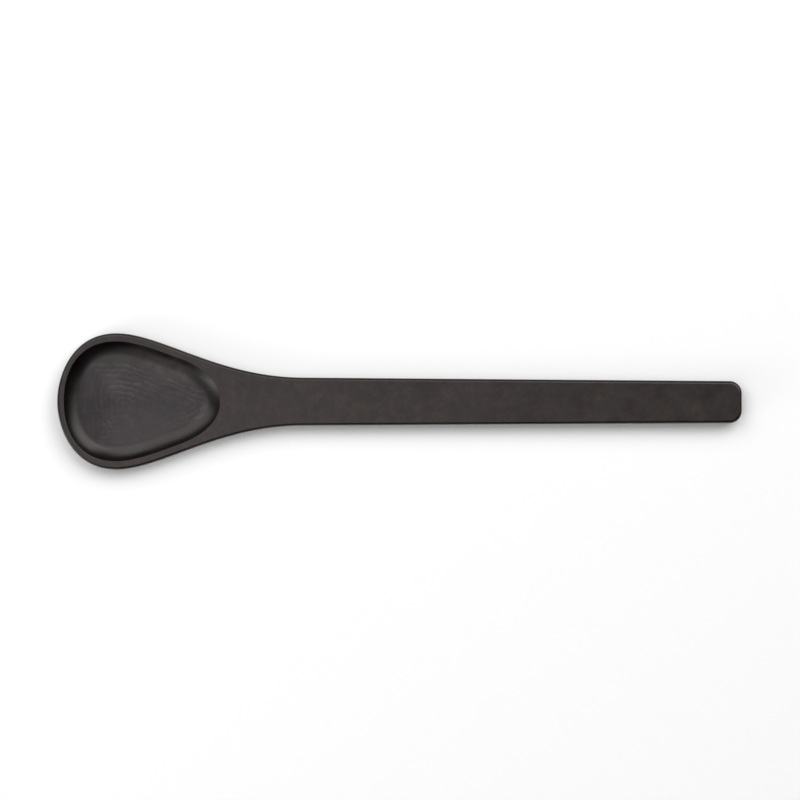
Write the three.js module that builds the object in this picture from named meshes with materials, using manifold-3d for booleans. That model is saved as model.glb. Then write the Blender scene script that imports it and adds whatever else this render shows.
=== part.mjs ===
// A cooking spoon milled from one flat sheet of slate-black pressed laminate.
//
// Millimetres, +Z up. The spoon lies on its flat back at z = 0, along X, with the head at -X and the
// square end of the handle at +X. The origin is under the middle of its length.
import * as THREE from "three";
import { ParametricGeometry } from "three/addons/geometries/ParametricGeometry.js";
import { mergeVertices } from "three/addons/utils/BufferGeometryUtils.js";
import Module from "manifold-3d";

// The sheet
const spoonLength = 336;
const thickness = 9.5;
const edgeRadius = 1.6;

// The outline, with places along it measured from the tip of the head
const headWidth = 66.9;
const widestPlace = 29;
const handleStart = 120.5;
const handleWidthAtNeck = 23.6;
const handleWidthAtEnd = 20.6;
const endCornerRadius = 6;

// The pocket in the head, with places along it measured from the tip of the head
const rimWidthAtTip = 3.35;
const rimWidthAtSide = 4;
const flankEnd = 58;
const noseLength = 23.5;
const wallWidthAtSide = 7.2;
const wallWidthAtNose = 9.8;
const creaseAngle = THREE.MathUtils.degToRad(2);
const deepestPlace = 29.6;
const floorThickness = 3.8;
const floorDish = 1.9;

// How far each curve of the outline keeps its end's direction, as a share of the stretch that it crosses
const headCurve = { atTip: 0.39, atWidest: 0.74 };
const neckCurve = { atWidest: 0.24, atHandle: 0.46 };
const pocketTipCurve = { atTip: 0.59, atWidest: 0.65 };
const pocketNoseCurve = { atFlank: 0.2, atNose: 0.67 };

// The floor of the pocket falls like a cone whose bottom is rounded over this share of the way to its edge
const floorRounding = 0.3;

// The wall widens from its side width to its nose width as it turns to face the tip of the head, by the
// share of its direction that points there
const wallTurn = { from: 0.35, to: 1 };

// How finely curves are divided
const headSteps = 26;
const neckSteps = 18;
const cornerSteps = 8;
const edgeRoundSteps = 4;
const pocketSteps = 88;
const wallSteps = 8;
const floorSteps = 6;
const shareHalvings = 30;

// How far the pocket's cutter stands above the sheet
const cutterRise = 3;

const tipX = -spoonLength / 2;
const endX = spoonLength / 2;
const widestX = tipX + widestPlace;
const handleX = tipX + handleStart;
const headHalf = headWidth / 2;
const neckHalf = handleWidthAtNeck / 2;
const endHalf = handleWidthAtEnd / 2;
const handleTaper = (neckHalf - endHalf) / (spoonLength - handleStart);
const deepest = new THREE.Vector2(tipX + deepestPlace, 0);
const creaseHeight = floorThickness + floorDish;
const roundedReach = Math.hypot(1, floorRounding);
const dishEdgeSlope = 1 / (roundedReach * (roundedReach - floorRounding));

/** The edge of the head, from its tip to its widest place. */
function headEdge() {
  const length = widestX - tipX;
  return new THREE.CubicBezierCurve(
    new THREE.Vector2(tipX, 0),
    new THREE.Vector2(tipX, headHalf * headCurve.atTip),
    new THREE.Vector2(widestX - length * headCurve.atWidest, headHalf),
    new THREE.Vector2(widestX, headHalf),
  );
}

/** The edge of the neck, from the head's widest place to the start of the straight handle. */
function neckEdge() {
  const length = handleX - widestX;
  const handleLead = length * neckCurve.atHandle;
  return new THREE.CubicBezierCurve(
    new THREE.Vector2(widestX, headHalf),
    new THREE.Vector2(widestX + length * neckCurve.atWidest, headHalf),
    new THREE.Vector2(handleX - handleLead, neckHalf + handleLead * handleTaper),
    new THREE.Vector2(handleX, neckHalf),
  );
}

/** The rounded corner of the handle's square end, tangent to its tapering side and its end face. */
function endCorner() {
  const taperAngle = Math.atan(handleTaper);
  const centreX = endX - endCornerRadius;
  const sideY = endHalf + handleTaper * endCornerRadius;
  const centreY = sideY - endCornerRadius / Math.cos(taperAngle);
  const sideAngle = Math.PI / 2 - taperAngle;
  return new THREE.EllipseCurve(centreX, centreY, endCornerRadius, endCornerRadius, sideAngle, 0, true);
}

/** The spoon's outline, seen from above. */
function outline() {
  const half = [
    ...headEdge().getPoints(headSteps),
    ...neckEdge().getPoints(neckSteps).slice(1),
    ...endCorner().getPoints(cornerSteps),
  ];
  const otherHalf = half.slice(1).reverse().map((point) => new THREE.Vector2(point.x, -point.y));
  return new THREE.Shape([...half, ...otherHalf]);
}

/** The slab that the spoon is milled from: the outline, with a round along the edges of both faces. */
function slab() {
  const geometry = new THREE.ExtrudeGeometry(outline(), {
    depth: thickness - 2 * edgeRadius,
    bevelThickness: edgeRadius,
    bevelSize: edgeRadius,
    bevelOffset: -edgeRadius,
    bevelSegments: edgeRoundSteps,
  });
  return geometry.translate(0, 0, edgeRadius);
}

/** The share of a curve at which it reaches a place along X, found by halving the stretch it lies in. */
function shareAtX(curve, x) {
  let low = 0;
  let high = 1;
  for (let halving = 0; halving < shareHalvings; halving += 1) {
    const middle = (low + high) / 2;
    if (curve.getPoint(middle).x < x) low = middle;
    else high = middle;
  }
  return low;
}

/** A line beside another curve, at a constant distance to its right, up to a share of its length. */
class BesideCurve extends THREE.Curve {
  constructor(curve, distance, lastShare) {
    super();
    this.curve = curve;
    this.distance = distance;
    this.lastShare = lastShare;
  }

  getPoint(share, target = new THREE.Vector2()) {
    const along = this.curve.getTangent(share * this.lastShare);
    this.curve.getPoint(share * this.lastShare, target);
    return target.set(target.x + along.y * this.distance, target.y - along.x * this.distance);
  }
}

/** One side of the pocket's edge, from the tip past the widest place and along the flank to the nose. */
function pocketSide() {
  const pocketTipX = tipX + rimWidthAtTip;
  const half = headHalf - rimWidthAtSide;
  const tipCurve = new THREE.CubicBezierCurve(
    new THREE.Vector2(pocketTipX, 0),
    new THREE.Vector2(pocketTipX, half * pocketTipCurve.atTip),
    new THREE.Vector2(widestX - (widestX - pocketTipX) * pocketTipCurve.atWidest, half),
    new THREE.Vector2(widestX, half),
  );

  const neck = neckEdge();
  const flank = new BesideCurve(neck, rimWidthAtSide, shareAtX(neck, tipX + flankEnd));

  const noseStart = flank.getPoint(1);
  const noseX = noseStart.x + noseLength;
  const noseLead = flank.getTangent(1).multiplyScalar(noseLength * pocketNoseCurve.atFlank);
  const nose = new THREE.CubicBezierCurve(
    noseStart,
    noseStart.clone().add(noseLead),
    new THREE.Vector2(noseX, noseStart.y * pocketNoseCurve.atNose),
    new THREE.Vector2(noseX, 0),
  );

  const side = new THREE.CurvePath();
  side.curves.push(tipCurve, flank, nose);
  return side;
}

/** The pocket's edge as places round it, counterclockwise from above, each with its direction inward. */
function pocketEdge() {
  const side = pocketSide();
  const places = [];
  for (let step = 0; step < pocketSteps; step += 1) {
    const turn = (2 * step) / pocketSteps;
    const mirrored = turn > 1;
    const share = mirrored ? 2 - turn : turn;
    const point = side.getPoint(share);
    const along = side.getTangent(share);
    const flip = mirrored ? 1 : -1;
    places.push({
      point: new THREE.Vector2(point.x, flip * point.y),
      inward: new THREE.Vector2(along.y, -flip * along.x),
    });
  }
  return places;
}

/** How much of the floor's dish is left at a share of the way from its deepest point to the crease. */
function dishShare(share) {
  const rounded = (way) => Math.hypot(way, floorRounding) - floorRounding;
  return rounded(share) / rounded(1);
}

/**
 * The arc of the pocket's wall at a place on its edge. It is steepest at the rim and meets the floor in a
 * slight crease. Its angles are measured from level.
 */
function wallArc({ point, inward }) {
  const turned = THREE.MathUtils.smoothstep(-inward.x, wallTurn.from, wallTurn.to);
  const width = THREE.MathUtils.lerp(wallWidthAtSide, wallWidthAtNose, turned);
  const floorReach = inward.dot(deepest.clone().sub(point)) - width;
  const floorAngle = Math.atan((floorDish * dishEdgeSlope) / floorReach);
  const footAngle = floorAngle + creaseAngle;
  const rimAngle = 2 * Math.atan((thickness - creaseHeight) / width) - footAngle;
  const radius = width / (Math.sin(rimAngle) - Math.sin(footAngle));
  return { footAngle, rimAngle, radius };
}

/** The solid that cuts the pocket, from its floor and wall to a lid above the sheet. */
function pocketCutter() {
  const edge = pocketEdge();
  const lidHeight = thickness + cutterRise;
  const lidStep = floorSteps + wallSteps + 1;
  const lastStep = lidStep + 1;

  // across counts rings from the deepest point, over the floor, up the wall and to the lid's middle
  const skin = (around, across, target) => {
    const place = edge[Math.round(around * pocketSteps) % pocketSteps];
    const step = Math.round(across * lastStep);
    if (step === lastStep) return target.set(deepest.x, deepest.y, lidHeight);
    if (step === lidStep) return target.set(place.point.x, place.point.y, lidHeight);

    const { footAngle, rimAngle, radius } = wallArc(place);
    const wallShare = Math.max(0, (step - floorSteps) / wallSteps);
    const angle = THREE.MathUtils.lerp(footAngle, rimAngle, wallShare);
    const inset = radius * (Math.sin(rimAngle) - Math.sin(angle));
    const rise = radius * (Math.cos(footAngle) - Math.cos(angle));

    const floorShare = Math.min(1, step / floorSteps);
    const fall = floorDish * (1 - dishShare(floorShare));
    const spot = place.point.clone().addScaledVector(place.inward, inset).lerp(deepest, 1 - floorShare);
    return target.set(spot.x, spot.y, creaseHeight + rise - fall);
  };
  return new ParametricGeometry(skin, pocketSteps, lastStep);
}

const wasm = await Module();
wasm.setup();

/** A closed geometry as a solid for joining and cutting. */
function solidOf(geometry) {
  geometry.deleteAttribute("normal");
  geometry.deleteAttribute("uv");
  const merged = mergeVertices(geometry);
  return new wasm.Manifold(
    new wasm.Mesh({
      numProp: 3,
      vertProperties: merged.attributes.position.array,
      triVerts: merged.index.array,
    }),
  );
}

/** A solid as a geometry that can be shown. */
function geometryOf(solid) {
  const mesh = solid.getMesh();
  const geometry = new THREE.BufferGeometry();
  geometry.setAttribute("position", new THREE.BufferAttribute(mesh.vertProperties, mesh.numProp));
  geometry.setIndex(new THREE.BufferAttribute(mesh.triVerts, 1));
  geometry.computeVertexNormals();
  return geometry;
}

const laminate = new THREE.MeshStandardMaterial({ color: 0x19110d, roughness: 0.33, metalness: 0 });

const spoon = new THREE.Mesh(geometryOf(solidOf(slab()).subtract(solidOf(pocketCutter()))), laminate);
spoon.name = "spoon";

const cookingSpoon = new THREE.Group();
cookingSpoon.add(spoon);

export default cookingSpoon;
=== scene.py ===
"""The looks of a cooking spoon that is milled in one piece from a sheet of slate-black laminate.

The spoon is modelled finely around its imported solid, finished with a procedural material, and shown from
straight above on a pale floor under soft studio light. Everything is in metres, with +Z up and the head of
the spoon at -X.
"""

import logging
import math
from collections.abc import Iterator
from dataclasses import dataclass, field
from enum import Enum

import bmesh
import bpy
from mathutils import Color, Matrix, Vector


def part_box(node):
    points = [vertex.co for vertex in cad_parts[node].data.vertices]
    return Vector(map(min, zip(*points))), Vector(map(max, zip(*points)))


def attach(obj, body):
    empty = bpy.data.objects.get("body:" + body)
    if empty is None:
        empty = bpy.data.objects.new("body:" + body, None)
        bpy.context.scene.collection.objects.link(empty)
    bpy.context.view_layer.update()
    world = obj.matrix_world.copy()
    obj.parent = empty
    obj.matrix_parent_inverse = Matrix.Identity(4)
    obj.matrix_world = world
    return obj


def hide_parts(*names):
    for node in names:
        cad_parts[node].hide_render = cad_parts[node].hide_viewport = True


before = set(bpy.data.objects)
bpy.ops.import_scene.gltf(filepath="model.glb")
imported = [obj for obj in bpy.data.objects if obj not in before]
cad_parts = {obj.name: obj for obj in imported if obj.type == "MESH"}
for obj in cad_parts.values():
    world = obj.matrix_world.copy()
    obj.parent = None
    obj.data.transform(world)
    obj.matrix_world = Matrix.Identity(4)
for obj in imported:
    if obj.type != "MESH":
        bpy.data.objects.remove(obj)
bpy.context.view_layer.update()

NODE = "spoon"
BODY = "root"
MM = 0.001

log = logging.getLogger("spoon")

Colour = tuple[float, float, float, float]
Span = tuple[float, float]
Socket = bpy.types.NodeSocket
# What the input of a shader node takes: a number, a vector, a colour or the output of another node
Value = float | tuple | Socket


def smooth_step(value: float, low: float, high: float) -> float:
    """Gives the share of the way from low to high, eased at both ends.

    Args:
        value: The value to place between the two ends.
        low: The value where the share is 0.
        high: The value where the share is 1.

    Returns:
        The share, from 0 to 1.
    """
    share = min(1.0, max(0.0, (value - low) / (high - low)))
    return share * share * (3 - 2 * share)


def blend(low: float, high: float, share: float) -> float:
    """Returns the value at a share of the way from low to high."""
    return low + (high - low) * share


def raised(flat: Vector, height: float) -> Vector:
    """Returns a place in the plane of the sheet, raised to a height above the spoon's back."""
    return Vector((flat.x, flat.y, height))


def screen_colour(red: int, green: int, blue: int) -> Colour:
    """Turns a colour that is written from 0 to 255, as a screen shows it, into linear light.

    Args:
        red: The red share.
        green: The green share.
        blue: The blue share.

    Returns:
        The linear colour with full cover.
    """
    shown = Color((red / 255, green / 255, blue / 255))
    return (*shown.from_srgb_to_scene_linear(), 1.0)


@dataclass(frozen=True)
class Cubic:
    """A cubic curve in the plane of the sheet.

    Attributes:
        start: Where the curve starts.
        start_lead: The point that its start heads for.
        end_lead: The point that its end comes from.
        end: Where the curve ends.
        halvings: How often the stretch that holds a wanted place is halved.
    """

    start: Vector
    start_lead: Vector
    end_lead: Vector
    end: Vector
    halvings: int = 30

    def point(self, share: float) -> Vector:
        """Finds a point on the curve.

        Args:
            share: The share of the curve before it.

        Returns:
            The point.
        """
        rest = 1 - share
        return (
            self.start * rest**3
            + self.start_lead * 3 * rest**2 * share
            + self.end_lead * 3 * rest * share**2
            + self.end * share**3
        )

    def direction(self, share: float) -> Vector:
        """Finds which way the curve runs at a point on it.

        Args:
            share: The share of the curve before the point.

        Returns:
            The unit direction of travel.
        """
        rest = 1 - share
        travel = (
            (self.start_lead - self.start) * rest**2
            + (self.end_lead - self.start_lead) * 2 * rest * share
            + (self.end - self.end_lead) * share**2
        )
        return travel.normalized()

    def share_at(self, x: float) -> float:
        """Finds where the curve reaches a place along the spoon, by halving the stretch that it lies in.

        Args:
            x: The place along the spoon.

        Returns:
            The share of the curve.
        """
        low = 0.0
        high = 1.0
        for _ in range(self.halvings):
            middle = (low + high) / 2
            if self.point(middle).x < x:
                low = middle
            else:
                high = middle
        return low


@dataclass
class Outline:
    """The spoon's outline seen from above, with places along it measured from the tip of the head.

    Attributes:
        tip: Where the tip of the head is along the spoon, from the middle of its length.
        end: Where the square end of the handle is, from the same middle.
        head_half: Half the width of the head.
        widest_place: Where the head is widest.
        handle_start: Where the straight handle starts.
        neck_half: Half the width of the handle where it starts.
        end_half: Half the width of the handle at its end.
        corner_radius: The radius of the corners of the square end.
        head_lead_at_tip: How far the head's curve keeps its direction at the tip, as a share of its width.
        head_lead_at_widest: How far it keeps its direction at the widest place, as a share of its length.
        neck_lead_at_widest: How far the neck's curve keeps its direction there, as a share of its length.
        neck_lead_at_handle: How far it keeps its direction at the handle, as a share of its length.
        head_steps: How many steps the head's curve has.
        neck_steps: How many steps the neck's curve has.
        handle_steps: How many steps the handle's side has.
        corner_steps: How many steps a corner has.
    """

    tip: float
    end: float
    head_half: float
    widest_place: float = 29 * MM
    handle_start: float = 120.5 * MM
    neck_half: float = 11.8 * MM
    end_half: float = 10.3 * MM
    corner_radius: float = 6 * MM
    head_lead_at_tip: float = 0.39
    head_lead_at_widest: float = 0.74
    neck_lead_at_widest: float = 0.24
    neck_lead_at_handle: float = 0.46
    head_steps: int = 90
    neck_steps: int = 100
    handle_steps: int = 52
    corner_steps: int = 24

    @property
    def widest_x(self) -> float:
        """The place along the spoon where the head is widest."""
        return self.tip + self.widest_place

    @property
    def handle_x(self) -> float:
        """The place along the spoon where the straight handle starts."""
        return self.tip + self.handle_start

    @property
    def taper(self) -> float:
        """How fast the handle's half width falls along the spoon."""
        return (self.neck_half - self.end_half) / (self.end - self.handle_x)

    def head_edge(self) -> Cubic:
        """Draws the edge of the head.

        Returns:
            Its curve, from the head's tip to its widest place.
        """
        return Cubic(
            Vector((self.tip, 0)),
            Vector((self.tip, self.head_half * self.head_lead_at_tip)),
            Vector((self.widest_x - self.widest_place * self.head_lead_at_widest, self.head_half)),
            Vector((self.widest_x, self.head_half)),
        )

    def neck_edge(self) -> Cubic:
        """Draws the edge of the neck.

        Returns:
            Its curve, from the head's widest place to the start of the handle.
        """
        length = self.handle_x - self.widest_x
        lead = length * self.neck_lead_at_handle
        return Cubic(
            Vector((self.widest_x, self.head_half)),
            Vector((self.widest_x + length * self.neck_lead_at_widest, self.head_half)),
            Vector((self.handle_x - lead, self.neck_half + lead * self.taper)),
            Vector((self.handle_x, self.neck_half)),
        )

    def end_corner(self) -> list[Vector]:
        """Draws the corner of the square end, tangent to the handle's tapering side and to its end face.

        Returns:
            The places round it, from the side to the end face.
        """
        taper_angle = math.atan(self.taper)
        side_y = self.end_half + self.taper * self.corner_radius
        middle_y = side_y - self.corner_radius / math.cos(taper_angle)
        middle = Vector((self.end - self.corner_radius, middle_y))
        first_angle = math.pi / 2 - taper_angle
        places = []
        for step in range(self.corner_steps + 1):
            angle = first_angle * (1 - step / self.corner_steps)
            places.append(middle + self.corner_radius * Vector((math.cos(angle), math.sin(angle))))
        return places

    def half(self) -> Iterator[Vector]:
        """Walks one side of the outline, from the tip of the head to the end face of the handle.

        Yields:
            Each place on it, in the plane of the sheet.
        """
        head = self.head_edge()
        for step in range(self.head_steps):
            yield head.point(step / self.head_steps)

        neck = self.neck_edge()
        for step in range(self.neck_steps):
            yield neck.point(step / self.neck_steps)

        corner = self.end_corner()
        handle_top = Vector((self.handle_x, self.neck_half))
        for step in range(self.handle_steps):
            yield handle_top.lerp(corner[0], step / self.handle_steps)
        yield from corner

    def places(self) -> list[Vector]:
        """Draws the whole outline.

        Returns:
            The places round it, clockwise from the tip of the head.
        """
        half = list(self.half())
        other_half = [Vector((place.x, -place.y)) for place in reversed(half[1:])]
        return half + other_half


@dataclass(frozen=True)
class Noise:
    """A soft random pattern with values round 0.5.

    Attributes:
        size: How wide its features are, in metres.
        detail: How many finer layers it has.
        rough: How strong the finer layers are.
    """

    size: float
    detail: float = 2
    rough: float = 0.5


@dataclass(frozen=True)
class Pattern:
    """A noise whose values are carried to a range of results, and held at its ends.

    Attributes:
        noise: The noise.
        reads: The two values of the noise that are carried to the ends of the range.
        gives: The results at these ends.
    """

    noise: Noise
    reads: Span
    gives: Span = (0, 1)


@dataclass(frozen=True)
class CutterPath:
    """The nested passes of the cutter over the pocket's floor, each an even step inside the last.

    Places along the spoon are measured from the middle of its length, unless they say from the tip.

    Attributes:
        tip: Where the tip of the head is along the spoon.
        rim_at_tip: How far from the tip the pocket's edge is.
        widest_y: How far out the pocket's edge is at the head's widest place.
        middle_y: The line along the spoon that the passes close in on, a little to one side of its middle.
        tip_radius: The radius of the pocket's edge at the tip.
        flank_meeting: How far from the tip the pocket's two straight flanks would meet.
        flank_angle: The angle between a flank and the middle line.
        flank_blend: Over what distance the passes turn from the widest place into the flanks.
        tip_blend: Over what distance they turn into the tip.
        step: How far each pass is inside the last.
        first_pass: How far inside the edge the passes start to show.
        turn_radius: How round the passes turn where they meet on the middle line.
        bends: The small bends of the passes.
        bend_steps: How many steps a pass would move aside from the lowest to the highest value of the bends.
        wear: How much of the ridges wear has left, in patches.
        rubbed_middle: The middle of the place that use has rubbed smooth.
        rubbed_reach: From where to where round that middle the rubbing ends.
        rubbed_share: How much of the ridges is left in that middle.
        tip_fade: Over what stretch from the pocket's edge at the tip the ridges rise to their full strength.
        tip_share: How much of the ridges is left at the tip.
        painted_light_stretch: Where along the spoon the wall of the left-hand flank is painted lighter, as
            painted light.
        painted_light_ends: How far to each side of its two ends the painted light fades out.
        painted_light_aside: From where to where beside the spoon's middle the painted light starts.
        painted_light_patches: How strong the painted light is, in patches.
    """

    tip: float
    rim_at_tip: float
    widest_y: float
    middle_y: float = -1.2 * MM
    tip_radius: float = 45 * MM
    flank_meeting: float = 117.4 * MM
    flank_angle: float = math.radians(19.9)
    flank_blend: float = 4 * MM
    tip_blend: float = 2 * MM
    step: float = 2.55 * MM
    first_pass: float = 7.5 * MM
    turn_radius: float = 1.2 * MM
    bends: Noise = Noise(6 * MM, 3, 0.65)
    bend_steps: float = 1.8
    wear: Pattern = Pattern(Noise(9 * MM), (0.35, 0.55), (0.35, 1))
    rubbed_middle: Span = (-120 * MM, -15 * MM)
    rubbed_reach: Span = (13 * MM, 26 * MM)
    rubbed_share: float = 0.15
    tip_fade: Span = (12 * MM, 28 * MM)
    tip_share: float = 0.4
    # Painted light: where along the spoon, how far beside its middle and in what patches a stretch of the
    # wall is painted lighter.
    painted_light_stretch: Span = (-128 * MM, -102 * MM)
    painted_light_ends: Span = (6 * MM, 4 * MM)
    painted_light_aside: Span = (4 * MM, 10 * MM)
    painted_light_patches: Pattern = Pattern(Noise(7 * MM, 3, 0.6), (0.3, 0.6), (0.3, 1))


class Zone(Enum):
    """The stretches of the pocket's section, from the flat rim inwards."""

    LIP = "lip"
    WALL = "wall"
    FLOOR = "floor"


@dataclass(frozen=True)
class EdgePlace:
    """A place on the pocket's edge.

    Attributes:
        point: Where it is, in the plane of the sheet.
        inward: The unit direction into the pocket, square to the edge.
    """

    point: Vector
    inward: Vector


@dataclass(frozen=True)
class WallArc:
    """The arc of the pocket's wall inwards from a place on its edge.

    Attributes:
        width: How wide the wall is, seen from above.
        foot_angle: How steep it is at its foot, from level.
        rim_angle: How steep it is at the rim, from level.
        radius: The arc's radius.
        lip_reach: How far each side of the pocket's edge the round of the lip starts.
    """

    width: float
    foot_angle: float
    rim_angle: float
    radius: float
    lip_reach: float


@dataclass
class Pocket:
    """The milled pocket in the head, with places along it measured from the tip of the head.

    Attributes:
        outline: The spoon's outline.
        thickness: How thick the sheet is.
        rim_at_tip: How wide the flat rim is at the tip.
        rim_at_side: How wide it is along the sides.
        flank_end: Where the pocket's edge leaves the neck's curve for the nose.
        nose_length: How long the nose is.
        lip_radius: The radius of the round where the wall meets the rim.
        wall_width_at_side: How wide the wall is along the sides, seen from above.
        wall_width_at_nose: How wide it is at the nose.
        wall_turn_from: How squarely the wall has to face the tip, from 0 to 1, before it widens.
        crease_angle: By how much the wall is steeper than the floor where they meet.
        deepest_place: Where the floor is deepest.
        floor_thickness: How much of the sheet is left there.
        floor_dish: How much lower the floor is there than at the wall's foot.
        floor_rounding: How round the bottom of the dish is, as a share of its reach.
        tip_lead_at_tip: How far the tip's curve keeps its direction at the tip, as a share of its width.
        tip_lead_at_widest: How far it keeps its direction at the widest place, as a share of its length.
        nose_lead_at_flank: How far the nose's curve keeps the flank's direction, as a share of its length.
        nose_lead_at_nose: How far it keeps its direction at the nose, as a share of its width.
        side_steps: How many steps one side of the pocket's edge has.
        walk_steps: How many fine steps each curve of the edge has before the edge is spaced evenly.
        steps: How many rings each zone of the section has.
    """

    outline: Outline
    thickness: float
    rim_at_tip: float = 3.35 * MM
    rim_at_side: float = 4 * MM
    flank_end: float = 58 * MM
    nose_length: float = 23.5 * MM
    lip_radius: float = 0.3 * MM
    wall_width_at_side: float = 7.2 * MM
    wall_width_at_nose: float = 9.8 * MM
    wall_turn_from: float = 0.35
    crease_angle: float = math.radians(2)
    deepest_place: float = 29.6 * MM
    floor_thickness: float = 3.8 * MM
    floor_dish: float = 1.9 * MM
    floor_rounding: float = 0.3
    tip_lead_at_tip: float = 0.59
    tip_lead_at_widest: float = 0.65
    nose_lead_at_flank: float = 0.2
    nose_lead_at_nose: float = 0.67
    side_steps: int = 180
    walk_steps: int = 2000
    steps: dict[Zone, int] = field(default_factory=lambda: {Zone.LIP: 4, Zone.WALL: 22, Zone.FLOOR: 34})

    @property
    def deepest(self) -> Vector:
        """The deepest point of the floor, in the plane of the sheet."""
        return Vector((self.outline.tip + self.deepest_place, 0))

    @property
    def crease_height(self) -> float:
        """How high the wall's foot is above the spoon's back."""
        return self.floor_thickness + self.floor_dish

    @property
    def widest_y(self) -> float:
        """How far out the pocket's edge is at the head's widest place."""
        return self.outline.head_half - self.rim_at_side

    def tip_curve(self) -> Cubic:
        """Draws the pocket's edge round the tip of the head.

        Returns:
            Its curve, from the tip to the head's widest place.
        """
        first_x = self.outline.tip + self.rim_at_tip
        widest_x = self.outline.widest_x
        return Cubic(
            Vector((first_x, 0)),
            Vector((first_x, self.widest_y * self.tip_lead_at_tip)),
            Vector((widest_x - (widest_x - first_x) * self.tip_lead_at_widest, self.widest_y)),
            Vector((widest_x, self.widest_y)),
        )

    def nose_curve(self, start: Vector, direction: Vector) -> Cubic:
        """Draws the pocket's edge round its nose.

        Args:
            start: Where the flank ends.
            direction: Which way the flank runs there.

        Returns:
            Its curve, from the flank to the middle of the nose.
        """
        nose_x = start.x + self.nose_length
        return Cubic(
            start,
            start + direction * self.nose_length * self.nose_lead_at_flank,
            Vector((nose_x, start.y * self.nose_lead_at_nose)),
            Vector((nose_x, 0)),
        )

    def side(self) -> Iterator[EdgePlace]:
        """Walks one side of the pocket's edge at even steps, from its tip to its nose.

        Yields:
            Each place on it.
        """
        neck = self.outline.neck_edge()
        flank_share = neck.share_at(self.outline.tip + self.flank_end)

        def beside_neck(share: float) -> Vector:
            """Returns the flank's point at a share of it, a rim's width inside the neck's edge."""
            along = neck.direction(share * flank_share)
            return neck.point(share * flank_share) + self.rim_at_side * Vector((along.y, -along.x))

        tip = self.tip_curve()
        nose = self.nose_curve(beside_neck(1), neck.direction(flank_share))
        shares = [step / self.walk_steps for step in range(self.walk_steps)]
        walk = [tip.point(share) for share in shares]
        walk += [beside_neck(share) for share in shares]
        walk += [nose.point(share) for share in shares]
        yield from self._even_places([*walk, nose.end])

    def _even_places(self, walk: list[Vector]) -> Iterator[EdgePlace]:
        """Spaces places evenly along a finely stepped walk.

        Args:
            walk: The points of the walk, from the pocket's tip to its nose.

        Yields:
            The first place, and the places that follow it at equal lengths along the walk.
        """
        reach = [0.0]
        for before, after in zip(walk, walk[1:]):
            reach.append(reach[-1] + (after - before).length)
        index = 0
        for step in range(self.side_steps + 1):
            wanted = reach[-1] * step / self.side_steps
            while index < len(walk) - 2 and reach[index + 1] < wanted:
                index += 1
            along = (walk[index + 1] - walk[index]).normalized()
            if step in (0, self.side_steps):
                along = Vector((0, 1 if step == 0 else -1))
            yield EdgePlace(walk[index] + along * (wanted - reach[index]), Vector((along.y, -along.x)))

    def edge(self) -> list[EdgePlace]:
        """Draws the pocket's whole edge.

        Returns:
            The places round it, clockwise from its tip.
        """
        side = list(self.side())
        other_side = [
            EdgePlace(Vector((place.point.x, -place.point.y)), Vector((place.inward.x, -place.inward.y)))
            for place in reversed(side[1:-1])
        ]
        return side + other_side

    def cutter_path(self) -> CutterPath:
        """Returns the nested passes that cut the floor."""
        return CutterPath(self.outline.tip, self.rim_at_tip, self.widest_y)

    def _rounded(self, way: float) -> float:
        """Returns how high a cone with a rounded bottom is at a share of the way out from its middle."""
        return math.hypot(way, self.floor_rounding) - self.floor_rounding

    def wall_arc(self, place: EdgePlace) -> WallArc:
        """Finds the arc of the wall that fits between the rim and the dished floor.

        Args:
            place: The place on the edge that the arc starts from.

        Returns:
            The arc.
        """
        turned = smooth_step(-place.inward.x, self.wall_turn_from, 1)
        width = blend(self.wall_width_at_side, self.wall_width_at_nose, turned)
        dish_slope = self.floor_dish / (math.hypot(1, self.floor_rounding) * self._rounded(1))
        floor_reach = place.inward.dot(self.deepest - place.point) - width
        foot_angle = math.atan(dish_slope / floor_reach) + self.crease_angle
        rim_angle = 2 * math.atan((self.thickness - self.crease_height) / width) - foot_angle
        radius = width / (math.sin(rim_angle) - math.sin(foot_angle))
        return WallArc(width, foot_angle, rim_angle, radius, self.lip_radius * math.tan(rim_angle / 2))

    def spot(self, place: EdgePlace, zone: Zone, share: float) -> Vector:
        """Finds a point of the pocket's surface.

        Args:
            place: The place on the edge that the point's section starts from.
            zone: The stretch of the section.
            share: The share of the way inwards over that stretch.

        Returns:
            The point in space.
        """
        arc = self.wall_arc(place)
        if zone is Zone.LIP:
            angle = arc.rim_angle * share
            inset = self.lip_radius * math.sin(angle) - arc.lip_reach
            drop = self.lip_radius * (1 - math.cos(angle))
            return raised(place.point + place.inward * inset, self.thickness - drop)

        if zone is Zone.WALL:
            lip_part = arc.lip_reach * math.cos(arc.rim_angle) / arc.radius
            first_angle = math.asin(math.sin(arc.rim_angle) - lip_part)
            angle = blend(first_angle, arc.foot_angle, share)
            inset = arc.radius * (math.sin(arc.rim_angle) - math.sin(angle))
            rise = arc.radius * (math.cos(arc.foot_angle) - math.cos(angle))
            return raised(place.point + place.inward * inset, self.crease_height + rise)

        flat = (place.point + place.inward * arc.width).lerp(self.deepest, share)
        dish = self._rounded(1 - share) / self._rounded(1)
        return raised(flat, self.floor_thickness + self.floor_dish * dish)

    def sections(self) -> Iterator[tuple[Zone, float]]:
        """Walks the rings of the pocket's surface after its first, from the lip to the deepest point.

        Yields:
            The zone of each ring and its share of the way over that zone, without the deepest point itself.
        """
        for zone, steps in self.steps.items():
            last = steps - 1 if zone is Zone.FLOOR else steps
            for step in range(1, last + 1):
                yield zone, step / steps


@dataclass(frozen=True)
class Place:
    """The sockets that say where a finish is read.

    Attributes:
        point: The place in space.
        x: How far along the spoon it is.
        y: How far across the spoon it is.
        z: How high it is.
        plan: The place seen from above, without its height.
    """

    point: Socket
    x: Socket
    y: Socket
    z: Socket
    plan: Socket


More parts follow.
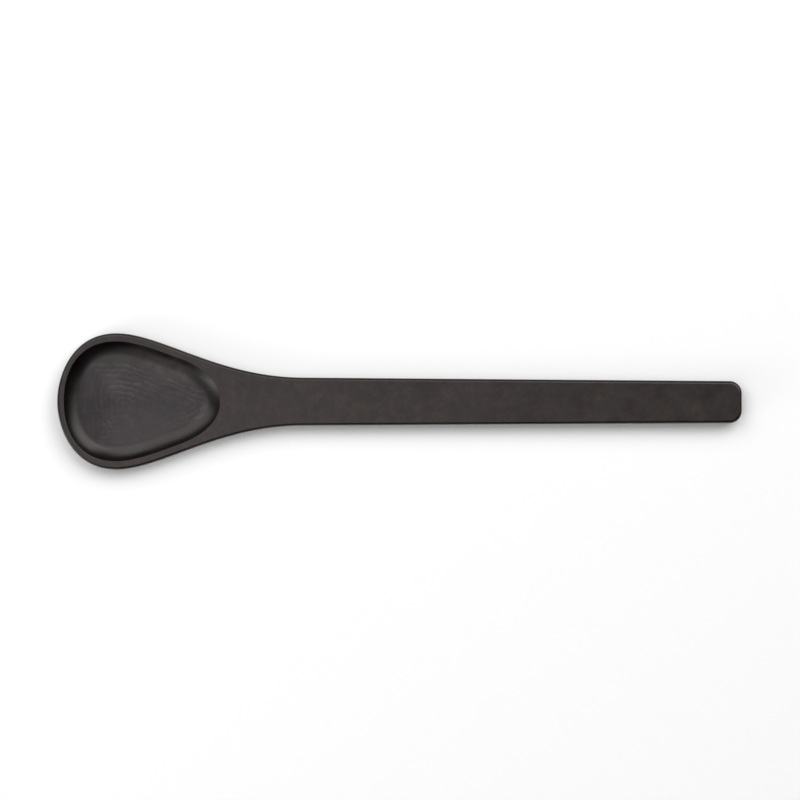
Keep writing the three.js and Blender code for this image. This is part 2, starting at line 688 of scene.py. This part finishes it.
class NodeGraph:
    """A tree of shader nodes, written by short calls."""

    # A Mix node keeps its sockets for colours after those for numbers and vectors
    MIX_SHARE = 0
    MIX_LOW = 6
    MIX_HIGH = 7
    MIX_RESULT = 2

    def __init__(self, tree: bpy.types.NodeTree) -> None:
        """Empties a tree and keeps it.

        Args:
            tree: The tree to write.
        """
        tree.nodes.clear()
        self.tree = tree

    def add(
        self, kind: str, inputs: dict[str | int, Value] | None = None, **settings: object
    ) -> bpy.types.Node:
        """Adds a node.

        Args:
            kind: The node's type name.
            inputs: Values or sockets for its inputs, by name or number.
            **settings: Its own settings.

        Returns:
            The node.
        """
        node = self.tree.nodes.new(kind)
        for name, value in settings.items():
            setattr(node, name, value)
        for key, value in (inputs or {}).items():
            self.feed(node.inputs[key], value)
        return node

    def feed(self, socket: Socket, value: Value) -> None:
        """Links a socket to another one, or sets its value.

        Args:
            socket: The input to feed.
            value: A socket to link it to, or the value to set.
        """
        if isinstance(value, bpy.types.NodeSocket):
            self.tree.links.new(value, socket)
        else:
            socket.default_value = value

    def place(self) -> Place:
        """Reads where the finish is, in the spoon's own frame.

        Returns:
            The place.
        """
        point = self.add("ShaderNodeTexCoord").outputs["Object"]
        parts = self.add("ShaderNodeSeparateXYZ", {"Vector": point}).outputs
        plan = self.add("ShaderNodeCombineXYZ", {"X": parts["X"], "Y": parts["Y"]}).outputs["Vector"]
        return Place(point, parts["X"], parts["Y"], parts["Z"], plan)

    def math(self, operation: str, *values: Value) -> Socket:
        """Reckons with numbers.

        Args:
            operation: The operation of a Math node.
            *values: Its inputs, in order.

        Returns:
            The result.
        """
        node = self.add("ShaderNodeMath", dict(enumerate(values)), operation=operation)
        return node.outputs["Value"]

    def noise(self, point: Value, noise: Noise) -> Socket:
        """Reads a noise.

        Args:
            point: Where it is read.
            noise: The noise.

        Returns:
            Its value.
        """
        inputs = {"Vector": point, "Scale": 1 / noise.size, "Detail": noise.detail, "Roughness": noise.rough}
        return self.add("ShaderNodeTexNoise", inputs).outputs["Fac"]

    def spread(self, value: Value, reads: Span, gives: Span = (0, 1)) -> Socket:
        """Carries a value smoothly from one range to another, and holds it at the ends.

        Args:
            value: The value to carry.
            reads: The two ends of its range.
            gives: The results at these ends.

        Returns:
            The result.
        """
        low, high = reads
        to_low, to_high = gives
        inputs = {"Value": value, "From Min": low, "From Max": high, "To Min": to_low, "To Max": to_high}
        node = self.add("ShaderNodeMapRange", inputs, interpolation_type="SMOOTHSTEP")
        return node.outputs["Result"]

    def pattern(self, point: Value, pattern: Pattern) -> Socket:
        """Returns the value of a pattern where it is read."""
        return self.spread(self.noise(point, pattern.noise), pattern.reads, pattern.gives)

    def mix(self, share: Value, low: Value, high: Value, blend_type: str = "MIX") -> Socket:
        """Mixes two colours.

        Args:
            share: How much of the second colour there is.
            low: The first colour.
            high: The second colour.
            blend_type: How the second colour is laid over the first.

        Returns:
            The mix.
        """
        inputs = {self.MIX_SHARE: share, self.MIX_LOW: low, self.MIX_HIGH: high}
        node = self.add("ShaderNodeMix", inputs, data_type="RGBA", blend_type=blend_type)
        return node.outputs[self.MIX_RESULT]


@dataclass(frozen=True)
class LaminateFinish:
    """The satin finish of slate-black pressed laminate.

    The sanded faces have soft patches, a mottle of fibres and pale flecks. Where the sheet is cut it is
    darker, as painted shade, apart from a stretch of the pocket's wall that is painted lighter, as painted
    light in patches. The floor of the pocket is a little cooler, and the cutter's passes have left fine
    ridges on it, which catch the light as thin nested lines; the ridges are also painted paler, as a painted
    highlight.

    Attributes:
        thickness: How thick the sheet is.
        path: The cutter's passes over the pocket's floor.
        face: The colour of the sanded faces.
        face_warm: Their colour in the warmer patches.
        cut: The colour of the sheet's cut, darkened well below the pocket's floor as painted shade.
        floor: The colour of the pocket's floor.
        wall_painted_light: The colour of a stretch of the pocket's wall, paler than the cut, as painted
            light.
        ridge: The pale colour of the ridges, a painted highlight where they catch the light.
        fleck: The colour of the flecks.
        gloss_tint: The tint of the gloss.
        refraction: The index of refraction.
        roughness: The mean roughness.
        ridge_shine: How much smoother the ridges are.
        cut_depth: Over what depth below a sanded face the cut's colour takes over.
        floor_height: Over what height the floor's colour gives way to the wall's, as shares of the thickness.
        crest: From which part of their swing the ridges rise, where -1 is a trough and 1 a crest.
        ridge_height: How high the ridges are.
        grain: The fine sanded grain.
        grain_height: How high the grain is.
        grain_strength: How strongly it turns the surface.
        patches: Where the warmer patches are.
        gloss_patches: How much rougher or smoother the surface is, in patches.
        mottle: By what the fibres multiply the colour.
        flecks: How much of the flecks' colour there is.
    """

    thickness: float
    path: CutterPath
    face: Colour = screen_colour(21, 16, 14)
    face_warm: Colour = screen_colour(29, 21, 18)
    # Painted shade: the cut's colour is far darker than the pocket's floor, standing in for shade on the
    # wall.
    cut: Colour = screen_colour(7, 4, 5)
    floor: Colour = screen_colour(22, 18, 23)
    # Painted light: a paler colour for a stretch of the pocket's wall, standing in for light falling there.
    wall_painted_light: Colour = screen_colour(35, 32, 29)
    # Painted highlight: the ridges are paler than the floor, standing in for the light that they catch.
    ridge: Colour = screen_colour(40, 35, 40)
    fleck: Colour = screen_colour(46, 38, 34)
    gloss_tint: Colour = (1.0, 0.925, 0.915, 1.0)
    refraction: float = 1.5
    roughness: float = 0.33
    ridge_shine: float = 0.03
    cut_depth: Span = (0.08 * MM, 0.4 * MM)
    floor_height: Span = (0.64, 0.7)
    crest: Span = (-0.2, 1)
    ridge_height: float = 0.022 * MM
    grain: Noise = Noise(0.6 * MM, 3, 0.6)
    grain_height: float = 0.01 * MM
    grain_strength: float = 0.25
    patches: Pattern = Pattern(Noise(11 * MM, 3, 0.6), (0.35, 0.65))
    gloss_patches: Pattern = Pattern(Noise(12 * MM), (0.25, 0.75), (-0.045, 0.045))
    mottle: Pattern = Pattern(Noise(5 * MM, 5, 0.7), (0.3, 0.7), (0.35, 1.65))
    flecks: Pattern = Pattern(Noise(1.1 * MM), (0.62, 0.74), (0, 0.5))

    def material(self) -> bpy.types.Material:
        """Builds the finish.

        Returns:
            The material.
        """
        material = bpy.data.materials.new("slate laminate")
        material.use_nodes = True
        graph = NodeGraph(material.node_tree)
        place = graph.place()
        from_edge = self._from_edge(graph, place)
        on_floor = self._floor_share(graph, place, from_edge)
        ridge = self._ridges(graph, place, from_edge, on_floor)
        shader = graph.add(
            "ShaderNodeBsdfPrincipled",
            {
                "Base Color": self._colour(graph, place, on_floor, ridge),
                "Roughness": self._roughness(graph, place, ridge),
                "Normal": self._relief(graph, place, ridge),
                "IOR": self.refraction,
                "Specular Tint": self.gloss_tint,
            },
        )
        graph.add("ShaderNodeOutputMaterial", {"Surface": shader.outputs["BSDF"]})
        return material

    def _cut_share(self, graph: NodeGraph, place: Place) -> Socket:
        """Builds how far a place is below both sanded faces.

        Args:
            graph: The tree to write.
            place: Where the finish is read.

        Returns:
            A share, from 0 on the faces to 1 where the sheet is cut.
        """
        from_middle = graph.math("ABSOLUTE", graph.math("SUBTRACT", place.z, self.thickness / 2))
        depth = graph.math("SUBTRACT", self.thickness / 2, from_middle)
        return graph.spread(depth, self.cut_depth)

    def _from_edge(self, graph: NodeGraph, place: Place) -> Socket:
        """Builds the distance that the cutter's passes keep from the pocket's edge.

        Args:
            graph: The tree to write.
            place: Where the finish is read.

        Returns:
            How far inside the pocket's edge a place is, in metres, below 0 outside it.
        """
        path = self.path
        aside = graph.math("SUBTRACT", place.y, path.middle_y)
        across = graph.math("SQRT", graph.math("MULTIPLY_ADD", aside, aside, path.turn_radius**2))
        from_side = graph.math("SUBTRACT", path.widest_y, across)

        to_meeting = graph.math("SUBTRACT", path.tip + path.flank_meeting, place.x)
        along_part = graph.math("MULTIPLY", to_meeting, math.sin(path.flank_angle))
        across_part = graph.math("MULTIPLY", across, math.cos(path.flank_angle))
        from_flank = graph.math("SUBTRACT", along_part, across_part)

        bend = graph.math("MULTIPLY", graph.math("MULTIPLY", across, across), 1 / (2 * path.tip_radius))
        along = graph.math("SUBTRACT", place.x, path.tip + path.rim_at_tip)
        from_tip = graph.math("SUBTRACT", along, bend)

        nearest = graph.math("SMOOTH_MIN", from_side, from_flank, path.flank_blend)
        return graph.math("SMOOTH_MIN", nearest, from_tip, path.tip_blend)

    def _floor_share(self, graph: NodeGraph, place: Place, from_edge: Value) -> Socket:
        """Builds how far a place is on the pocket's floor.

        Args:
            graph: The tree to write.
            place: Where the finish is read.
            from_edge: How far inside the pocket's edge it is.

        Returns:
            A share, from 0 off the floor to 1 where the passes show.
        """
        first = self.path.first_pass
        inside = graph.spread(from_edge, (first, first + self.path.step))
        low, high = self.floor_height
        deep = graph.spread(place.z, (self.thickness * low, self.thickness * high), (1, 0))
        return graph.math("MULTIPLY", inside, deep)

    def _ridges(self, graph: NodeGraph, place: Place, from_edge: Value, on_floor: Value) -> Socket:
        """Builds the ridges between the cutter's passes.

        Args:
            graph: The tree to write.
            place: Where the finish is read.
            from_edge: How far inside the pocket's edge it is.
            on_floor: How far it is on the pocket's floor.

        Returns:
            How high a place is on a ridge, from 0 to 1.
        """
        path = self.path
        bend = graph.math("SUBTRACT", graph.noise(place.plan, path.bends), 0.5)
        passes = graph.math("DIVIDE", from_edge, path.step)
        count = graph.math("MULTIPLY_ADD", bend, path.bend_steps, passes)
        swing = graph.math("COSINE", graph.math("MULTIPLY", count, math.tau))
        ridge = graph.spread(swing, self.crest)

        worn = graph.pattern(place.plan, path.wear)
        middle = (*path.rubbed_middle, 0)
        from_rubbed = graph.add("ShaderNodeVectorMath", {0: place.plan, 1: middle}, operation="DISTANCE")
        rubbed = graph.spread(from_rubbed.outputs["Value"], path.rubbed_reach, (path.rubbed_share, 1))
        pocket_tip = path.tip + path.rim_at_tip
        near, far = path.tip_fade
        clear = graph.spread(place.x, (pocket_tip + near, pocket_tip + far), (path.tip_share, 1))
        kept = graph.math("MULTIPLY", graph.math("MULTIPLY", worn, rubbed), clear)
        return graph.math("MULTIPLY", ridge, graph.math("MULTIPLY", kept, on_floor))

    def _painted_light_share(self, graph: NodeGraph, place: Place) -> Socket:
        """Builds how far a place is in the stretch of the wall that is painted lighter, as painted light.

        Args:
            graph: The tree to write.
            place: Where the finish is read.

        Returns:
            A share, from 0 outside it to 1 where the painted light is strongest.
        """
        path = self.path
        start, end = path.painted_light_stretch
        start_fade, end_fade = path.painted_light_ends
        after = graph.spread(place.x, (start - start_fade, start + start_fade))
        before = graph.spread(place.x, (end - end_fade, end + end_fade), (1, 0))
        aside = graph.spread(place.y, path.painted_light_aside)
        stretch = graph.math("MULTIPLY", graph.math("MULTIPLY", after, before), aside)
        return graph.math("MULTIPLY", stretch, graph.pattern(place.point, path.painted_light_patches))

    def _colour(self, graph: NodeGraph, place: Place, on_floor: Value, ridge: Value) -> Socket:
        """Builds the base colour: a mottled face, darker where the sheet is cut as painted shade, lighter on
        a stretch of the pocket's wall as painted light, and paler on the ridges as a painted highlight.

        Args:
            graph: The tree to write.
            place: Where the finish is read.
            on_floor: How far it is on the pocket's floor.
            ridge: How high it is on a ridge.

        Returns:
            The colour.
        """
        face = graph.mix(graph.pattern(place.point, self.patches), self.face, self.face_warm)
        # Painted shade and painted light on the pocket's wall: its dark colour stands in for shade, and a
        # stretch laid in patches is lighter, standing in for light.
        wall = graph.mix(self._painted_light_share(graph, place), self.cut, self.wall_painted_light)
        milled = graph.mix(on_floor, wall, self.floor)
        plain = graph.mix(self._cut_share(graph, place), face, milled)
        # Painted highlight: the ridges are painted paler wherever they stand.
        ridged = graph.mix(ridge, plain, self.ridge)
        flecked = graph.mix(graph.pattern(place.point, self.flecks), ridged, self.fleck)
        mottle = graph.pattern(place.point, self.mottle)
        shade = graph.add("ShaderNodeCombineColor", {"Red": mottle, "Green": mottle, "Blue": mottle})
        return graph.mix(1.0, flecked, shade.outputs["Color"], "MULTIPLY")

    def _roughness(self, graph: NodeGraph, place: Place, ridge: Value) -> Socket:
        """Builds the roughness: a patchy satin, smoother on the ridges.

        Args:
            graph: The tree to write.
            place: Where the finish is read.
            ridge: How high it is on a ridge.

        Returns:
            The roughness.
        """
        patchy = graph.math("ADD", graph.pattern(place.point, self.gloss_patches), self.roughness)
        return graph.math("MULTIPLY_ADD", ridge, -self.ridge_shine, patchy)

    def _relief(self, graph: NodeGraph, place: Place, ridge: Value) -> Socket:
        """Builds the relief: a fine sanded grain over the cutter's ridges.

        Args:
            graph: The tree to write.
            place: Where the finish is read.
            ridge: How high it is on a ridge.

        Returns:
            The normal.
        """
        grain = {
            "Strength": self.grain_strength,
            "Distance": self.grain_height,
            "Height": graph.noise(place.point, self.grain),
        }
        grained = graph.add("ShaderNodeBump", grain).outputs["Normal"]
        ridges = {"Strength": 1.0, "Distance": self.ridge_height, "Height": ridge, "Normal": grained}
        return graph.add("ShaderNodeBump", ridges).outputs["Normal"]


@dataclass
class Spoon:
    """The whole spoon: a slab with rounded edges, and a pocket milled into its head.

    Attributes:
        outline: Its outline.
        pocket: Its pocket.
        thickness: How thick the sheet is.
        edge_radius: The radius of the round along the edges of both faces.
        edge_segments: How many steps that round has.
    """

    outline: Outline
    pocket: Pocket
    thickness: float
    edge_radius: float = 1.6 * MM
    edge_segments: int = 12

    def build(self) -> bpy.types.Object:
        """Models the spoon.

        Returns:
            The finished piece, without its material.
        """
        mesh = bmesh.new()
        self._cut_slab(mesh)
        self._mill_pocket(mesh)
        bmesh.ops.recalc_face_normals(mesh, faces=mesh.faces)
        for face in mesh.faces:
            face.smooth = True

        data = bpy.data.meshes.new("laminate_spoon")
        mesh.to_mesh(data)
        mesh.free()
        piece = bpy.data.objects.new("laminate_spoon", data)
        bpy.context.collection.objects.link(piece)
        weighted = piece.modifiers.new("flat faces stay flat", "WEIGHTED_NORMAL")
        weighted.mode = "FACE_AREA"
        return piece

    def _cut_slab(self, mesh: bmesh.types.BMesh) -> None:
        """Cuts the outline from the sheet and rounds the edges of both faces.

        Args:
            mesh: The empty mesh to model in.
        """
        places = self.outline.places()
        made = bmesh.ops.create_circle(mesh, cap_ends=True, radius=1, segments=len(places))
        for vert, place in zip(made["verts"], places):
            vert.co = raised(place, 0)
        lifted = bmesh.ops.extrude_face_region(mesh, geom=mesh.faces[:])["geom"]
        top = [item for item in lifted if isinstance(item, bmesh.types.BMVert)]
        bmesh.ops.translate(mesh, verts=top, vec=(0, 0, self.thickness))
        mesh.normal_update()
        rims = [edge for edge in mesh.edges if edge.verts[0].co.z == edge.verts[1].co.z]
        bmesh.ops.bevel(
            mesh,
            geom=rims,
            offset=self.edge_radius,
            offset_type="OFFSET",
            segments=self.edge_segments,
            profile=0.5,
            affect="EDGES",
            material=-1,
        )

    def _mill_pocket(self, mesh: bmesh.types.BMesh) -> None:
        """Opens the top face and sinks the pocket into it, ring by ring.

        Args:
            mesh: The slab.
        """
        # The two flat faces have the most corners, and the top one of them is the higher
        top = max(mesh.faces, key=lambda face: (len(face.verts), face.calc_center_median().z))
        border = list(top.edges)
        bmesh.ops.delete(mesh, geom=[top], context="FACES_ONLY")

        edge = self.pocket.edge()
        number = mesh.verts.layers.int.new("edge place")
        made = bmesh.ops.create_circle(mesh, cap_ends=False, radius=1, segments=len(edge))
        for index, vert in enumerate(made["verts"]):
            vert[number] = index
            vert.co = self.pocket.spot(edge[index], Zone.LIP, 0)
        ring = list(dict.fromkeys(link for vert in made["verts"] for link in vert.link_edges))
        bmesh.ops.triangle_fill(mesh, use_beauty=True, use_dissolve=False, edges=border + ring)

        for zone, share in self.pocket.sections():
            sunk = bmesh.ops.extrude_edge_only(mesh, edges=ring)["geom"]
            ring = [item for item in sunk if isinstance(item, bmesh.types.BMEdge)]
            for vert in {end for link in ring for end in link.verts}:
                vert.co = self.pocket.spot(edge[vert[number]], zone, share)

        floor = bmesh.ops.contextual_create(mesh, geom=ring)["faces"]
        middle = bmesh.ops.poke(mesh, faces=floor)["verts"]
        middle[0].co = self.pocket.spot(edge[0], Zone.FLOOR, 1)
        mesh.verts.layers.int.remove(number)

    def dress(self, piece: bpy.types.Object) -> None:
        """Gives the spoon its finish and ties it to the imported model.

        Args:
            piece: The modelled spoon.
        """
        finish = LaminateFinish(self.thickness, self.pocket.cutter_path())
        piece.data.materials.append(finish.material())
        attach(piece, BODY)
        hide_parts(NODE)


@dataclass(frozen=True)
class Softbox:
    """A soft rectangular studio lamp that faces the spoon.

    Attributes:
        name: What it is called.
        azimuth: The direction that it stands in, in degrees anticlockwise from +X.
        elevation: How high it stands above the floor, in degrees.
        width: Its width.
        height: Its height.
        light: The share of the floor's brightness that it gives.
        distance: How far it stands from the spoon.
    """

    name: str
    azimuth: float
    elevation: float
    width: float
    height: float
    light: float
    distance: float = 1.6

    def build(self) -> None:
        """Makes the lamp."""
        azimuth = math.radians(self.azimuth)
        elevation = math.radians(self.elevation)
        level = Vector((math.cos(azimuth), math.sin(azimuth), 0))
        direction = level * math.cos(elevation) + Vector((0, 0, math.sin(elevation)))
        data = bpy.data.lights.new(self.name, "AREA")
        data.shape = "RECTANGLE"
        data.size = self.width
        data.size_y = self.height
        # A white floor shows a lamp's power times the sine of its elevation, over the square of pi times its
        # distance
        data.energy = self.light * (math.pi * self.distance) ** 2 / math.sin(elevation)
        lamp = bpy.data.objects.new(self.name, data)
        lamp.location = direction * self.distance
        lamp.rotation_euler = direction.to_track_quat("Z", "Y").to_euler()
        lamp.visible_camera = False
        bpy.context.collection.objects.link(lamp)


@dataclass
class Studio:
    """The pale floor, the white surroundings and the lamps.

    Attributes:
        floor_size: How long each side of the floor is.
        floor_colour: The floor's colour as the camera and mirrored rays see it.
        floor_bounce: Its colour for the light that it sends on.
        floor_roughness: How rough the floor is.
        surround_light: How strongly the surroundings light the scene.
        lamps: The lamps.
    """

    floor_size: float = 12.0
    floor_colour: Colour = screen_colour(254, 254, 254)
    floor_bounce: Colour = screen_colour(90, 90, 90)
    floor_roughness: float = 0.9
    surround_light: float = 0.01
    lamps: tuple[Softbox, ...] = (
        Softbox(
            "upper left lamp", azimuth=130, elevation=53, width=2.6, height=2.3, light=0.49, distance=2.6
        ),
        Softbox(
            "upper right lamp", azimuth=45, elevation=50, width=1.95, height=1.95, light=0.46, distance=2.6
        ),
        Softbox(
            "overhead lamp", azimuth=250, elevation=78, width=0.55, height=0.55, light=0.098, distance=1.3
        ),
        Softbox("high left lamp", azimuth=225, elevation=70, width=0.6, height=0.6, light=0.03),
        Softbox("left lamp", azimuth=230, elevation=44, width=1.1, height=1.2, light=0.078),
        Softbox("side lamp", azimuth=207, elevation=22, width=0.5, height=0.4, light=0.042),
        Softbox("low left lamp", azimuth=206, elevation=8, width=1.4, height=0.5, light=0.02),
    )

    def build(self) -> None:
        """Makes the floor, the surroundings and the lamps."""
        self._lay_floor()
        self._light_surroundings()
        for lamp in self.lamps:
            lamp.build()

    def _floor_material(self) -> bpy.types.Material:
        """Builds the floor's material, which is white to the camera and to mirrored rays alone.

        Returns:
            The material.
        """
        material = bpy.data.materials.new("pale floor")
        material.use_nodes = True
        graph = NodeGraph(material.node_tree)
        rays = graph.add("ShaderNodeLightPath").outputs
        mirrored = graph.math("MAXIMUM", rays["Is Glossy Ray"], rays["Is Transmission Ray"])
        seen = graph.math("MAXIMUM", rays["Is Camera Ray"], mirrored)
        colour = graph.mix(seen, self.floor_bounce, self.floor_colour)
        shader = graph.add(
            "ShaderNodeBsdfPrincipled",
            {"Base Color": colour, "Roughness": self.floor_roughness, "Specular IOR Level": 0.0},
        )
        graph.add("ShaderNodeOutputMaterial", {"Surface": shader.outputs["BSDF"]})
        return material

    def _lay_floor(self) -> None:
        """Lays a large flat floor just under the spoon."""
        mesh = bmesh.new()
        bmesh.ops.create_grid(mesh, x_segments=1, y_segments=1, size=self.floor_size / 2)
        data = bpy.data.meshes.new("floor")
        mesh.to_mesh(data)
        mesh.free()
        floor = bpy.data.objects.new("floor", data)
        bpy.context.collection.objects.link(floor)
        data.materials.append(self._floor_material())

    def _light_surroundings(self) -> None:
        """Lights the scene faintly from all round, and shows the surroundings to the camera as white."""
        world = bpy.data.worlds.new("studio")
        world.use_nodes = True
        graph = NodeGraph(world.node_tree)
        seen = graph.add("ShaderNodeLightPath").outputs["Is Camera Ray"]
        strength = graph.spread(seen, (0, 1), (self.surround_light, 1))
        background = graph.add("ShaderNodeBackground", {"Color": (1, 1, 1, 1), "Strength": strength})
        graph.add("ShaderNodeOutputWorld", {"Surface": background.outputs["Background"]})
        bpy.context.scene.world = world


@dataclass
class OverheadCamera:
    """The camera, which looks straight down on the spoon with the head to the left.

    Attributes:
        height: How high above the floor it is.
        lens: Its focal length in millimetres.
        aim_x: The place along the spoon that it is over.
        aim_y: The place across the spoon that it is over.
        turn: How far it is turned about the vertical.
    """

    height: float = 1.608
    lens: float = 146.7
    aim_x: float = 0.25 * MM
    aim_y: float = 0.83 * MM
    turn: float = math.radians(0.067)

    def build(self) -> None:
        """Makes the camera and looks through it."""
        data = bpy.data.cameras.new("camera")
        data.lens = self.lens
        camera = bpy.data.objects.new("camera", data)
        camera.location = (self.aim_x, self.aim_y, self.height)
        camera.rotation_euler = (0, 0, self.turn)
        bpy.context.collection.objects.link(camera)
        bpy.context.scene.camera = camera


def main() -> None:
    """Builds the studio and the spoon."""
    bpy.context.scene.view_settings.view_transform = "Standard"
    low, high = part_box(NODE)
    OverheadCamera().build()
    Studio().build()

    outline = Outline(tip=low[0], end=high[0], head_half=high[1])
    pocket = Pocket(outline, thickness=high[2])
    spoon = Spoon(outline, pocket, thickness=high[2])
    piece = spoon.build()
    spoon.dress(piece)
    log.info("built %s with %d faces", piece.name, len(piece.data.polygons))


if __name__ == "__main__":
    logging.basicConfig(level=logging.INFO)
    main()
